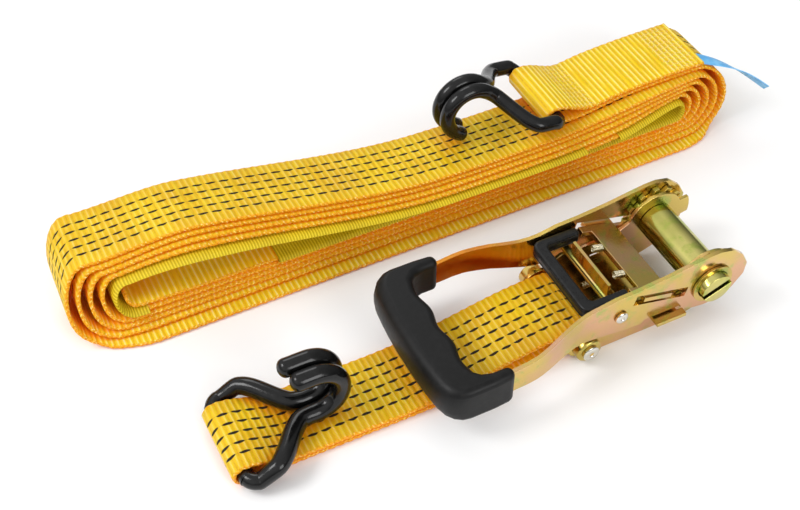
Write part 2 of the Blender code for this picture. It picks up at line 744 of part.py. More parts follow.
def make_label():
    """A blank tag, sewn in at the strap's end, that twists and hangs off to the right."""
    start = Vector((CUT_END_X + GAP, 128 * MM, coil_height(CUT_END_X) + 1.5 * LAYER))
    end = Vector((146 * MM, 101 * MM, 28 * MM))
    flat, twisted = Vector((0, 1, 0)), Vector((0.3, 0.61, -0.73))
    rows = []
    for i in range(13):
        t = i / 12
        place = start.lerp(end, t)
        place.z += 5 * MM * math.sin(math.pi * t)
        across = flat.lerp(twisted, smooth(t)).normalized() * 6.5 * MM
        rows.append((in_place(*(place - across)), in_place(*(place + across))))
    finish("label_tag", lofted_band(rows, 0.6 * MM), "label")


# ---------------------------------------------------------------- the object

make_base_frame()
make_anchor()
make_lock_pawl()
make_spindle()
make_arm(-1)
make_arm(1)
make_grip()
make_handle_spacer()
make_drive_pawl()
make_release_grip()
make_short_strap()
make_hook("ratchet_end_hook", HOOK_A, Vector((1, 0, 0)), Vector((0, 0, 1)), 14 * MM)
make_long_strap()
make_hook(
    "long_strap_hook",
    HOOK_B,
    Vector((-math.cos(HOOK_B_TILT), 0, math.sin(HOOK_B_TILT))),
    Vector((-math.sin(HOOK_B_TILT), 0, -math.cos(HOOK_B_TILT))),
    9 * MM,
)
make_sleeves()
make_label()
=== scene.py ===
"""Looks of the ratchet tie-down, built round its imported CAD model. Metres, +Z up."""

import math

import bmesh
import bpy
import numpy as np
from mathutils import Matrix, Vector


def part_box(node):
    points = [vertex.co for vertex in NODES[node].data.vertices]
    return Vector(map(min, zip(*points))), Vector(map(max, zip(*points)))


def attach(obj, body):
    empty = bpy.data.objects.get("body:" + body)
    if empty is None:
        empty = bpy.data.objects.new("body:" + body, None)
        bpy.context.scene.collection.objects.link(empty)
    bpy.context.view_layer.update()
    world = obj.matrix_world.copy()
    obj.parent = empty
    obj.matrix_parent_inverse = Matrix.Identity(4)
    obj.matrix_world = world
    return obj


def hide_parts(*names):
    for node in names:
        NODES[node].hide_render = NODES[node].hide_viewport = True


MM = 0.001
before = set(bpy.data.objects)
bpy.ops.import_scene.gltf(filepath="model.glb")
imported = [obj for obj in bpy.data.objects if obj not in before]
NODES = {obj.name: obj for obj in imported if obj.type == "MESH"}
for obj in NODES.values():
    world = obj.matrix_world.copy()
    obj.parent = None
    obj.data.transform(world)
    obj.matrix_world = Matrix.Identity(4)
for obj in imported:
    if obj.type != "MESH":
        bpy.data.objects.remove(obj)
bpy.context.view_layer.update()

SPINDLE = Vector((0.042, 0, 0.031))
BOLT = Vector((-0.043, 0, 0.0115))
RIVET = SPINDLE + Vector((-65.6, 0, 2.2)) * MM
PULL_AXIS = Vector((-0.96456, 0, 0.26387))
GAP = 0.3 * MM
WEB_WIDTH = 50 * MM
WEB_THICK = 2.6 * MM
ROD_R = 5 * MM
HOOK_A = Vector((-0.260, 0.002, 0.0082))
HOOK_B = Vector((0.020, 0.140, 0.054))
HOOK_B_TILT = math.radians(34.5)
FOLD_R = ROD_R + GAP + WEB_THICK / 2

# What repeats in the webbing: dashes along it, rows of dashes across it, ribs, and along the
# edges scallops and beads.
DASH = 8.5 * MM
ROW = 7.3 * MM
RIB = 3.8 * MM
SCALLOP = 5.8 * MM
SCALLOP_DEPTH = 0.5 * MM
BEAD = 2.9 * MM
SLEEVE_RIB = 1.9 * MM

# Added to the second UV coordinate, so that a material can tell a band's faces from its edges.
FACE_V = 0.1
EDGE_V = 0.3


def smooth(t):
    t = min(max(t, 0.0), 1.0)
    return t * t * (3 - 2 * t)


# ---------------------------------------------------------------- node materials


class Nodes:
    """Short names for building one material's node tree."""

    def __init__(self, name):
        self.mat = bpy.data.materials.new(name)
        self.mat.use_nodes = True
        self.tree = self.mat.node_tree
        self.shader = self.tree.nodes["Principled BSDF"]

    def new(self, kind, **settings):
        node = self.tree.nodes.new(kind)
        for key, value in settings.items():
            setattr(node, key, value)
        return node

    def feed(self, socket, value):
        if isinstance(value, bpy.types.NodeSocket):
            self.tree.links.new(value, socket)
        elif isinstance(value, tuple) and len(value) == 3 and socket.type == "RGBA":
            socket.default_value = (*value, 1)
        else:
            socket.default_value = value

    def math(self, operation, a, b=0.0):
        node = self.new("ShaderNodeMath", operation=operation)
        self.feed(node.inputs[0], a)
        self.feed(node.inputs[1], b)
        return node.outputs[0]

    def wave(self, value, pitch):
        return self.math("SINE", self.mul(value, 2 * math.pi / pitch))

    def add(self, a, b):
        return self.math("ADD", a, b)

    def sub(self, a, b):
        return self.math("SUBTRACT", a, b)

    def mul(self, a, b):
        return self.math("MULTIPLY", a, b)

    def ramp(self, value, low, high, out_low=0.0, out_high=1.0):
        node = self.new("ShaderNodeMapRange", interpolation_type="SMOOTHSTEP", clamp=True)
        for i, v in enumerate((value, low, high, out_low, out_high)):
            self.feed(node.inputs[i], v)
        return node.outputs[0]

    def mix(self, factor, a, b):
        node = self.new("ShaderNodeMix", data_type="RGBA")
        self.feed(node.inputs[0], factor)
        self.feed(node.inputs[6], a)
        self.feed(node.inputs[7], b)
        return node.outputs[2]

    def noise(self, vector, scale, detail=3.0, rough=0.5):
        node = self.new("ShaderNodeTexNoise")
        self.feed(node.inputs["Vector"], vector)
        node.inputs["Scale"].default_value = scale
        node.inputs["Detail"].default_value = detail
        node.inputs["Roughness"].default_value = rough
        return node.outputs[0]

    def place(self):
        return self.new("ShaderNodeTexCoord").outputs["Object"]

    def uv(self):
        node = self.new("ShaderNodeSeparateXYZ")
        self.feed(node.inputs[0], self.new("ShaderNodeTexCoord").outputs["UV"])
        return node.outputs[0], node.outputs[1]

    def split(self, vector):
        node = self.new("ShaderNodeSeparateXYZ")
        self.feed(node.inputs[0], vector)
        return node.outputs

    def join(self, x, y, z):
        node = self.new("ShaderNodeCombineXYZ")
        for i, v in enumerate((x, y, z)):
            self.feed(node.inputs[i], v)
        return node.outputs[0]

    def bump(self, height, distance, strength=1.0):
        node = self.new("ShaderNodeBump")
        node.inputs["Strength"].default_value = strength
        node.inputs["Distance"].default_value = distance
        self.feed(node.inputs["Height"], height)
        return node.outputs[0]

    def surface(self, **values):
        for name, value in values.items():
            self.feed(self.shader.inputs[name.replace("_", " ")], value)
        return self.mat


def black_dashes(n, u, across):
    """Masks of the dashes, in five rows, and of the thin dark line that each row follows."""
    half_length, half_width, bow = 3.05 * MM, 0.92 * MM, 26.0
    row = n.math("ROUND", n.mul(across, 1 / ROW))
    row = n.math("MINIMUM", n.math("MAXIMUM", row, -2.0), 2.0)
    phase = n.sub(n.math("FRACT", n.add(n.mul(u, 1 / DASH), n.mul(row, 0.07))), 0.5)
    along = n.mul(phase, DASH)
    off = n.sub(across, n.mul(row, ROW))
    off = n.sub(off, n.mul(n.mul(along, along), bow))
    reach = n.add(
        n.math("POWER", n.mul(along, 1 / half_length), 2.0),
        n.math("POWER", n.mul(off, 1 / half_width), 2.0),
    )
    line = n.ramp(n.math("ABSOLUTE", off), 0.3 * MM, 0.12 * MM)
    return n.ramp(reach, 1.25, 0.95), line


def zigzag_seam(n, u, across, patch, zone):
    """Mask of the zigzag stitches of one sewn zone."""
    zigzag, row_gap, stitch = 2.1 * MM, 4.6 * MM, 1.4 * MM
    saw = n.math("PINGPONG", n.add(u, n.mul(patch, 2 * MM)), zigzag)
    line = n.sub(n.math("FRACT", n.mul(n.add(across, saw), 1 / row_gap)), 0.5)
    seam = n.mul(n.ramp(n.math("ABSOLUTE", line), 0.14, 0.07), zone)
    return n.mul(seam, n.ramp(n.wave(u, stitch), -0.5, 0.2))


def webbing_material(name, stitched=()):
    """Golden ribbed webbing. UV: x is the distance along, y the distance across, plus FACE_V on the
    face with the black dashes, minus FACE_V on the other one and EDGE_V on the edges. Each
    stitched zone is (first u, last u)."""
    n = Nodes(name)
    u, v = n.uv()
    is_edge = n.ramp(v, 0.22, 0.23)
    is_face = n.sub(1.0, is_edge)
    is_front = n.mul(n.ramp(v, 0.0, 0.01), is_face)
    side = n.mul(n.sub(n.mul(n.ramp(v, 0.0, 0.01), 2.0), 1.0), FACE_V)
    across = n.sub(v, side)
    rim = n.mul(n.ramp(n.math("ABSOLUTE", across), 23.6 * MM, 24.4 * MM), is_face)
    rib = n.wave(u, RIB)
    fine = n.wave(u, RIB / 5)
    warp = n.wave(v, 1.05 * MM)
    streak = n.noise(n.join(n.mul(u, 0.5 / RIB), n.mul(v, 22.0), 0.0), 1.1, 2.0)
    patch = n.noise(n.join(u, v, 0.0), 34.0, 3.0)
    thread = n.noise(n.join(n.mul(u, 900.0), n.mul(v, 350.0), 0.0), 1.0, 2.0)
    bright = n.noise(n.join(n.mul(u, 2.0 / BEAD), n.mul(v, 700.0), 0.0), 1.3, 2.0)

    # The faces: gold, with painted shade deeper in the grooves between the ribs and painted highlights
    # as pale streaks along their crests.
    base = n.mix(n.ramp(patch, 0.32, 0.68), (0.70, 0.42, 0.0005), (0.80, 0.53, 0.002))
    # Painted light: the face without the dashes, and the edges, are mixed towards a lighter gold to
    # brighten the coil's inner and lower runs.
    base = n.mix(n.ramp(is_front, 0.0, 1.0, 0.55, 0.0), base, (0.98, 0.64, 0.005))
    # Painted shade: darker gold in the grooves between the ribs.
    groove_shade = n.mul(n.ramp(rib, -0.3, -1.0), n.ramp(thread, 0.3, 0.7, 0.4, 1.0))
    base = n.mix(n.mul(groove_shade, 0.5), base, (0.58, 0.24, 0.0))
    # Painted highlight: pale streaks along the rib crests, stronger on the face without dashes.
    crest_highlight = n.mul(n.ramp(rib, 0.35, 0.95), n.ramp(streak, 0.3, 0.55))
    crest_highlight = n.mul(crest_highlight, n.ramp(warp, -0.5, 0.6, 0.3, 1.0))
    pale = n.ramp(is_front, 0.0, 1.0, 0.95, 0.42)
    base = n.mix(n.mul(crest_highlight, pale), base, (1.0, 0.86, 0.34))

    # The edge is a row of slanted beads, with painted shade dark in the gaps between them and painted
    # highlights as pale specks on their crests.
    slant = n.add(n.mul(u, 1 / BEAD), n.mul(across, 150.0))
    bead = n.math("SINE", n.mul(slant, 2 * math.pi))
    edge = n.mix(n.ramp(bright, 0.3, 0.7), (0.80, 0.30, 0.0005), (0.90, 0.46, 0.003))
    edge = n.mix(n.mul(n.ramp(bead, 0.3, 1.0), n.ramp(bright, 0.50, 0.64)), edge, (1.0, 0.82, 0.36))
    edge = n.mix(n.mul(n.ramp(bead, -0.5, -1.0), 0.55), edge, (0.52, 0.13, 0.0))
    colour = n.mix(n.math("MAXIMUM", is_edge, n.mul(rim, 0.8)), base, edge)

    # Painted shade and light: deep in the coil, where ambient occlusion finds near surfaces, the colour
    # turns deep orange, standing in for the shade there and for the light that arrives only through the
    # yarn.
    coil_occlusion = n.new("ShaderNodeAmbientOcclusion", samples=4)
    coil_occlusion.inputs["Distance"].default_value = 24 * MM
    depth = n.ramp(coil_occlusion.outputs["AO"], 0.8, 0.2)
    colour = n.mix(n.mul(depth, 0.8), colour, (1.0, 0.26, 0.0))

    height = n.add(n.mul(rib, 0.5), n.add(n.mul(fine, 0.05), n.mul(warp, 0.12)))
    height = n.add(n.add(height, n.mul(thread, 0.25)), n.mul(n.mul(bead, is_edge), 0.4))
    dash, line = (n.mul(mask, is_front) for mask in black_dashes(n, u, across))
    colour = n.mix(n.mul(line, 0.35), colour, (0.20, 0.08, 0.01))
    for first, last in stitched:
        fade = 1.5 * MM
        zone = n.mul(n.ramp(u, first, first + fade), n.ramp(u, last, last - fade))
        seam = n.mul(zigzag_seam(n, u, across, patch, zone), is_face)
        colour = n.mix(n.mul(seam, 0.6), colour, (0.95, 0.72, 0.42))
        dots = n.mul(n.ramp(bright, 0.55, 0.62), n.mul(zone, is_face))
        colour = n.mix(n.mul(dots, 0.35), colour, (0.50, 0.22, 0.06))
        height = n.add(height, n.mul(seam, 0.5))
    colour = n.mix(n.mul(dash, 0.985), colour, (0.010, 0.007, 0.007))
    rough = n.add(n.ramp(thread, 0.2, 0.8, 0.38, 0.62), n.mul(dash, 0.3))
    return n.surface(
        Base_Color=colour,
        Roughness=rough,
        Normal=n.bump(height, 0.38 * MM, 1.0),
        Specular_IOR_Level=0.26,
        Subsurface_Weight=n.mul(n.sub(1.0, dash), 0.4),
        Subsurface_Radius=(0.006, 0.0025, 0.0001),
        Subsurface_Scale=1.0,
    )


def sleeve_material():
    """Lime tubular webbing with fine cross ribs."""
    n = Nodes("lime_sleeve")
    u, v = n.uv()
    rib = n.wave(u, SLEEVE_RIB)
    warp = n.wave(v, 0.9 * MM)
    thread = n.noise(n.join(n.mul(u, 700.0), n.mul(v, 500.0), 0.0), 1.0, 2.0)
    patch = n.noise(n.join(u, v, 0.0), 60.0, 3.0)
    base = n.mix(n.ramp(patch, 0.3, 0.7), (0.58, 0.40, 0.001), (0.70, 0.50, 0.002))
    # Painted highlight pale on the rib crests, and painted shade dark between the ribs.
    base = n.mix(n.mul(n.ramp(rib, 0.2, 1.0), 0.5), base, (0.88, 0.72, 0.05))
    base = n.mix(n.mul(n.ramp(rib, -0.3, -1.0), 0.6), base, (0.34, 0.25, 0.0))
    height = n.add(n.mul(rib, 0.5), n.add(n.mul(warp, 0.15), n.mul(thread, 0.3)))
    return n.surface(
        Base_Color=base,
        Roughness=0.5,
        Normal=n.bump(height, 0.3 * MM, 0.9),
        Specular_IOR_Level=0.3,
    )


def zinc_material(name, tint_a, tint_b, tint_c, roughness=(0.13, 0.27), brushed=None, amber=None):
    """Yellow-passivated zinc plate: gold, rose and green patches with fine rolling scratches.
    Towards the lower x of amber, a pair of places, the plate turns deep amber."""
    n = Nodes(name)
    place = n.place()
    big = n.noise(place, 22.0, 3.0, 0.55)
    mid = n.noise(place, 75.0, 4.0, 0.6)
    fine = n.noise(place, 1400.0, 3.0)
    colour = n.mix(n.ramp(big, 0.38, 0.6), tint_a, tint_b)
    colour = n.mix(n.ramp(mid, 0.5, 0.68, 0.0, 0.8), colour, tint_c)
    x, y, z = n.split(place)
    if amber:
        colour = n.mix(n.mul(n.ramp(x, amber[1], amber[0]), 0.85), colour, (0.46, 0.15, 0.008))
    scratch = n.noise(n.join(n.mul(x, 60.0), n.mul(y, 900.0), n.mul(z, 900.0)), 1.0, 3.0)
    if brushed == "y":
        scratch = n.noise(n.join(n.mul(x, 900.0), n.mul(y, 25.0), n.mul(z, 900.0)), 1.0, 3.0)
    rough = n.add(n.ramp(mid, 0.3, 0.7, *roughness), n.mul(n.sub(scratch, 0.5), 0.08))
    height = n.add(n.mul(fine, 0.35), n.mul(scratch, 0.5))
    return n.surface(
        Base_Color=colour, Metallic=1.0, Roughness=rough, Normal=n.bump(height, 0.05 * MM, 0.45)
    )


def black_material(name, colour, rough, grain, depth, level, coat=0.0):
    """Moulded or dipped black plastic. rough is its range of roughness, grain the scale and depth
    the height of its texture, and level the specular level."""
    n = Nodes(name)
    place = n.place()
    dust = n.noise(place, 260.0, 4.0, 0.6)
    fine = n.noise(place, grain, 3.0)
    shade = n.mix(n.ramp(dust, 0.35, 0.75), colour, tuple(c * 1.4 + 0.002 for c in colour))
    roughness = n.ramp(dust, 0.3, 0.7, rough[0], rough[1])
    return n.surface(
        Base_Color=shade,
        Roughness=roughness,
        Normal=n.bump(n.add(fine, n.mul(dust, 0.5)), depth, 0.6),
        Coat_Weight=coat,
        Coat_Roughness=0.12,
        Specular_IOR_Level=level,
    )


def label_material():
    """Blue woven ribbon, blank."""
    n = Nodes("blue_label")
    u, v = n.uv()
    weave = n.mul(n.wave(u, 0.7 * MM), n.wave(v, 0.7 * MM))
    patch = n.noise(n.join(u, v, 0.0), 120.0, 3.0)
    colour = n.mix(n.ramp(patch, 0.35, 0.7), (0.09, 0.40, 0.78), (0.20, 0.55, 0.90))
    return n.surface(Base_Color=colour, Roughness=0.45, Normal=n.bump(weave, 0.08 * MM, 0.5))


def floor_material():
    n = Nodes("pale_floor")
    shade = n.noise(n.place(), 3.0, 2.0)
    colour = n.mix(shade, (0.90, 0.90, 0.90), (0.94, 0.94, 0.94))
    return n.surface(Base_Color=colour, Roughness=0.7)


MATERIALS = {
    "webbing": webbing_material("printed_webbing"),
    "sewn_webbing": webbing_material("sewn_webbing", [(2 * MM, 26 * MM), (88 * MM, 108 * MM)]),
    "sleeve": sleeve_material(),
    "zinc": zinc_material("zinc_plate", (0.68, 0.50, 0.13), (0.72, 0.42, 0.25), (0.40, 0.50, 0.12)),
    "zinc_dark": zinc_material(
        "zinc_deep_gold", (0.48, 0.36, 0.08), (0.66, 0.48, 0.14), (0.30, 0.38, 0.08), (0.14, 0.28)
    ),
    "zinc_far": zinc_material(
        "zinc_far_arm",
        (0.66, 0.46, 0.12),
        (0.70, 0.38, 0.20),
        (0.40, 0.46, 0.12),
        amber=(-0.075, -0.035),
    ),
    "silver": zinc_material("pressed_ends", (0.66, 0.64, 0.56), (0.72, 0.70, 0.66), (0.6, 0.58, 0.5)),
    "spindle": zinc_material(
        "spindle_olive", (0.46, 0.44, 0.11), (0.62, 0.56, 0.18), (0.38, 0.46, 0.08), (0.10, 0.18), "y"
    ),
    "grip": black_material(
        "grip_moulding", (0.004, 0.004, 0.004), (0.40, 0.5), 900.0, 0.05 * MM, 0.22
    ),
    "coated": black_material(
        "dipped_coating", (0.003, 0.003, 0.003), (0.12, 0.22), 300.0, 0.1 * MM, 0.3, coat=0.1
    ),
    "release": black_material(
        "release_coating", (0.004, 0.004, 0.004), (0.25, 0.4), 500.0, 0.12 * MM, 0.3
    ),
    "label": label_material(),
    "steel": zinc_material("spring_steel", (0.62, 0.56, 0.40), (0.72, 0.66, 0.48), (0.5, 0.5, 0.34)),
}


# ---------------------------------------------------------------- making pieces


def new_object(name, mesh, material, body, angle=35):
    obj = bpy.data.objects.new(name, mesh)
    bpy.context.scene.collection.objects.link(obj)
    mesh.materials.clear()
    mesh.materials.append(MATERIALS[material])
    mesh.shade_smooth()
    mesh.set_sharp_from_angle(angle=math.radians(angle))
    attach(obj, body)
    return obj


def mesh_from(bm, name):
    """The finished mesh, its faces turned outwards."""
    bmesh.ops.recalc_face_normals(bm, faces=bm.faces)
    mesh = bpy.data.meshes.new(name)
    bm.to_mesh(mesh)
    bm.free()
    return mesh


def add_loft(bm, rings):
    """Faces between neighbouring rings of vertices, and over both ends."""
    count = len(rings[0])
    for one, two in zip(rings, rings[1:]):
        for k in range(count):
            j = (k + 1) % count
            bm.faces.new((one[k], one[j], two[j], two[k]))
    bm.faces.new(list(reversed(rings[0])))
    bm.faces.new(rings[-1])


def add_bevel(obj, width, segments, angle):
    modifier = obj.modifiers.new("edges", "BEVEL")
    modifier.width = width
    modifier.segments = segments
    modifier.limit_method = "ANGLE"
    modifier.angle_limit = math.radians(angle)
    return modifier


def unit(vectors):
    return vectors / np.linalg.norm(vectors, axis=1)[:, None]


def dressed(node, body, material):
    """A copy of a CAD node with its edges rounded, shown in its place."""
    mesh = NODES[node].data.copy()
    bm = bmesh.new()
    bm.from_mesh(mesh)
    bmesh.ops.remove_doubles(bm, verts=bm.verts, dist=1e-6)
    bmesh.ops.dissolve_limit(bm, angle_limit=math.radians(1), verts=bm.verts, edges=bm.edges)
    bm.to_mesh(mesh)
    bm.free()
    obj = new_object(f"{node}_finished", mesh, material, body)
    add_bevel(obj, 0.35 * MM, 2, 40).harden_normals = True
    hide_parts(node)


def resampled(rows, step, closed=False):
    """The near points, the far points and their places at even steps along the middle line of
    rows of (near, far) points, with its length."""
    near = np.array([r[0] for r in rows], float)
    far = np.array([r[1] for r in rows], float)
    if closed:
        near = np.vstack([near, near[:1]])
        far = np.vstack([far, far[:1]])
    middle = (near + far) / 2
    run = np.concatenate([[0], np.cumsum(np.linalg.norm(np.diff(middle, axis=0), axis=1))])
    count = int(round(run[-1] / step))
    places = np.linspace(0, run[-1], count + 1)
    if closed:
        places = places[:-1]
    near = np.stack([np.interp(places, run, near[:, i]) for i in range(3)], 1)
    far = np.stack([np.interp(places, run, far[:, i]) for i in range(3)], 1)
    return near, far, places, run[-1]


# The webbing's section: (share of the half width, share of the half thickness).
WEB_FACE = [(-1.0, 0.5), (-0.975, 0.93), (-0.6, 1), (-0.2, 1), (0.2, 1), (0.6, 1)]
WEB_FACE += [(0.975, 0.93), (1.0, 0.5)]
WEB_RING = WEB_FACE + [(a, -h) for a, h in reversed(WEB_FACE)]


def band_mesh(rows, closed=False):
    """Webbing swept through rows of (near, far). Seen from the near side, the dashes are on the
    right of the direction of travel."""
    rib_depth = 0.035
    near, far, places, length = resampled(rows, DASH / 8, closed)
    middle = (near + far) / 2
    tangent = np.roll(middle, -1, 0) - np.roll(middle, 1, 0)
    if not closed:
        tangent[0], tangent[-1] = middle[1] - middle[0], middle[-1] - middle[-2]
    tangent = unit(tangent)
    across = unit(far - near)
    normal = unit(-np.cross(across, tangent))
    bm = bmesh.new()
    uv = bm.loops.layers.uv.new("UVMap")
    rings = []
    for i, s in enumerate(places):
        inset = SCALLOP_DEPTH / 2 - SCALLOP_DEPTH / 2 * math.cos(2 * math.pi * s / SCALLOP)
        half = WEB_WIDTH / 2 - inset
        wave = 1 - rib_depth * (1 - math.cos(2 * math.pi * s / RIB))
        ring = []
        for a, h in WEB_RING:
            point = middle[i] + across[i] * (a * half) + normal[i] * (h * wave * WEB_THICK / 2)
            ring.append(bm.verts.new(point))
        rings.append(ring)
    count = len(WEB_RING)
    half_count = count // 2
    pairs = [(i, i + 1) for i in range(len(rings) - 1)]
    if closed:
        pairs.append((len(rings) - 1, 0))
    for i, k in pairs:
        ends = (places[i], places[k] if k else length)
        for c in range(count):
            d = (c + 1) % count
            face = bm.faces.new((rings[i][c], rings[i][d], rings[k][d], rings[k][c]))
            is_edge = c in (half_count - 1, count - 1)
            side = EDGE_V if is_edge else FACE_V if c < half_count - 1 else -FACE_V
            for loop, (which, s) in zip(face.loops, ((c, 0), (d, 0), (d, 1), (c, 1))):
                a, h = WEB_RING[which]
                t = h * WEB_THICK / 2 if is_edge else a * WEB_WIDTH / 2
                loop[uv].uv = (ends[s], side + t)
    if not closed:
        for ring, s in ((rings[0], 0.0), (rings[-1], length)):
            face = bm.faces.new(ring)
            for loop, (a, h) in zip(face.loops, WEB_RING):
                loop[uv].uv = (s + a * WEB_WIDTH / 2, EDGE_V + h * WEB_THICK / 2)
    return mesh_from(bm, "band"), length


def arc(cx, cz, radius, start, end, steps):
    """Points of an arc between two angles in degrees."""
    angles = [math.radians(start + (end - start) * i / steps) for i in range(steps + 1)]
    return [(cx + radius * math.cos(a), cz + radius * math.sin(a)) for a in angles]


def tube_mesh(points, radius, sides, round_ends=True):
    """A round tube along a dense polyline, with rounded ends. The radius may be one per point."""
    pts = [Vector(p) for p in points]
    radii = list(radius) if isinstance(radius, list) else [radius] * len(pts)
    radius = radii[0]
    if round_ends:
        for end, inner in ((0, 1), (-1, -2)):
            tip = pts[end].copy()
            out = (tip - pts[inner]).normalized()
            caps = []
            for i in range(1, 6):
                angle = math.pi / 2 * i / 5.3
                place = tip + out * (radius * 0.8 * math.sin(angle))
                caps.append((place, radius * math.cos(angle)))
            if end == 0:
                pts = [c[0] for c in reversed(caps)] + pts
                radii = [c[1] for c in reversed(caps)] + radii
            else:
                pts += [c[0] for c in caps]
                radii += [c[1] for c in caps]
    bm = bmesh.new()
    up = None
    rings = []
    for i, p in enumerate(pts):
        t = (pts[min(i + 1, len(pts) - 1)] - pts[max(i - 1, 0)]).normalized()
        if up is None:
            up = t.orthogonal().normalized()
        up = (up - t * up.dot(t)).normalized()
        side = t.cross(up)
        ring = []
        for k in range(sides):
            a = 2 * math.pi * k / sides
            ring.append(bm.verts.new(p + (up * math.cos(a) + side * math.sin(a)) * radii[i]))
        rings.append(ring)
    add_loft(bm, rings)
    return mesh_from(bm, "tube")


def catmull(points, per):
    """A smooth line through the points, with this many steps between each two."""
    pts = [Vector(p) for p in points]
    out = []
    for i in range(len(pts) - 1):
        p0 = pts[max(i - 1, 0)]
        p1, p2 = pts[i], pts[i + 1]
        p3 = pts[min(i + 2, len(pts) - 1)]
        for k in range(per):
            t = k / per
            out.append(
                0.5
                * (
                    2 * p1
                    + (p2 - p0) * t
                    + (2 * p0 - 5 * p1 + 4 * p2 - p3) * t * t
                    + (3 * p1 - p0 - 3 * p2 + p3) * t * t * t
                )
            )
    out.append(pts[-1])
    return out


# ---------------------------------------------------------------- short strap


def make_short_strap():
    """The closed loop round the anchor tube and the hook's crossbar."""
    tube_r = 7.5 * MM
    turn = tube_r + GAP + WEB_THICK / 2
    points = arc(BOLT.x, BOLT.z, turn, 80, -90, 40)
    low = HOOK_A.z - FOLD_R
    start, end = BOLT.x - 30 * MM, HOOK_A.x + 8 * MM
    points += [(start + (end - start) * i / 6, low) for i in range(7)]
    points += arc(HOOK_A.x, HOOK_A.z, FOLD_R, -90, -262, 40)
    flat_z = low + WEB_THICK + 2 * GAP
    fold_top, bolt_top = HOOK_A.z + FOLD_R, BOLT.z + turn
    for i in range(1, 101):
        x = HOOK_A.x + (BOLT.x - 4 * MM - HOOK_A.x) * i / 100
        from_fold = smooth((x - HOOK_A.x) / (36 * MM))
        to_bolt = smooth((x - (SPINDLE.x - 205 * MM)) / (117 * MM))
        z = fold_top + (flat_z - fold_top) * from_fold + (bolt_top - flat_z) * to_bolt
        points.append((x, z))
    rows = []
    for x, z in points:
        middle = HOOK_A.y * min(max((BOLT.x - x) / (BOLT.x - HOOK_A.x), 0), 1)
        rows.append(((x, middle - WEB_WIDTH / 2, z), (x, middle + WEB_WIDTH / 2, z)))
    mesh, length = band_mesh(rows, closed=True)
    obj = new_object("short_strap_webbing", mesh, "webbing", "base", 60)
    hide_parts("short_strap")


# ---------------------------------------------------------------- long strap

LAYER = 3.2 * MM
SLEEVE_EXTRA = 0.9 * MM
TURNS = 6
COIL_RIGHT = 119 * MM
COIL_RIGHT_STEP = 7.6 * MM
COIL_LEFT = -357.8 * MM
COIL_LEFT_STEP = 7.2 * MM
FIRST_LAYER_Z = 1.6 * MM
FREE_END_X = -316 * MM
FREE_END_R = 6.6 * MM
CUT_END_X = 100 * MM


def coil_height(x):
    """Height of the uppermost full layer, x measured from the spindle."""
    bulge = 16.5 * MM * smooth((-x / MM - 105) / 175) - 14.5 * MM * smooth((-x / MM - 270) / 86)
    right = 4.6 * MM * smooth((x / MM + 30) / 110)
    return 42 * MM + bulge + right


def upper_z(layer, x):
    return coil_height(x) - (layer - 1) * LAYER - (SLEEVE_EXTRA if layer == TURNS - 1 else 0)


def lower_z(layer):
    return FIRST_LAYER_Z + (layer - 1) * LAYER + SLEEVE_EXTRA * max(0, layer - (TURNS - 2))


def near_edge(x, z, raised=None):
    """Y of the near edge: the bottom layer lies furthest out, and the stack leans back."""
    at_end = 9 * smooth((-x / MM - 312) / 40) + 9 * smooth((x / MM - 78) / 40)
    low = 95.4 + at_end + (14 - at_end) * (1 - math.exp(-max(z / MM - 1.6, 0) / 3.4))
    top = 107 + 0.00033 * (x / MM + 57) ** 2 if raised is None else raised
    height = coil_height(x) + (0 if raised is None else LAYER)
    share = min(max(z / height, 0), 1)
    in_middle = smooth((x / MM + 325) / 60) * (1 - smooth((x / MM - 20) / 60))
    lean = 8 * in_middle * smooth((1 - share) / 0.3) * smooth((share - 0.45) / 0.2)
    return (low + (top - 109.4) * share**2 - lean) * MM


def loop_edge(x):
    return (115 + 4 * smooth((x / MM + 22) / 60)) * MM


def spread(start, end, count):
    """Even places from start to end."""
    return [start + (end - start) * i / count for i in range(count + 1)]


def right_turn(layer):
    end = COIL_RIGHT - (layer - 1) * COIL_RIGHT_STEP
    top, bottom = upper_z(layer - 1, end), lower_z(layer)
    half = (top - bottom) / 2
    raised = loop_edge(end) / MM if layer == 1 else None
    ring = [math.radians(90 - 180 * i / 36) for i in range(37)]
    places = [(end - half + half * math.cos(a), bottom + half + half * math.sin(a)) for a in ring]
    return [(x, near_edge(x, z, raised), z) for x, z in places]


def left_turn(layer):
    end = COIL_LEFT + (layer - 1) * COIL_LEFT_STEP
    bottom = lower_z(layer)
    half = (upper_z(layer, end) - bottom) / 2
    for _ in range(4):
        half = (upper_z(layer, end + half) - bottom) / 2
    ring = [math.radians(-90 - 180 * i / 36) for i in range(37)]
    places = [(end + half + half * math.cos(a), bottom + half + half * math.sin(a)) for a in ring]
    return [(x, near_edge(x, z), z) for x, z in places]


def free_end():
    """The strap's cut end, curled up inside the sleeve's bend."""
    points = arc(FREE_END_X, lower_z(TURNS) + FREE_END_R, FREE_END_R, -92, -195, 20)
    return [(x, near_edge(x, z), z) for x, z in points]


def coil_runs():
    """The strap's path from the outside inwards, as (name, points of the near edge)."""
    runs = []
    for layer in range(1, TURNS + 1):
        turn = right_turn(layer)
        runs.append((f"right_{layer}", turn))
        last = layer == TURNS
        end = FREE_END_X if last else left_turn(layer)[0][0]
        xs = spread(turn[-1][0], end, 56)[1 : None if last else -1]
        runs.append((f"lower_{layer}", [(x, near_edge(x, lower_z(layer)), lower_z(layer)) for x in xs]))
        if last:
            runs.append(("free_end", free_end()))
            break
        back = left_turn(layer)
        runs.append((f"left_{layer}", back))
        following = right_turn(layer + 1)
        xs = spread(back[-1][0], following[0][0], 60)[1:-1]
        drop = following[0][2] - upper_z(layer, following[0][0])
        upper = []
        for x in xs:
            z = upper_z(layer, x) + drop * smooth((x - xs[-1]) / (60 * MM) + 1)
            upper.append((x, near_edge(x, z), z))
        runs.append((f"upper_{layer}", upper))
    return runs


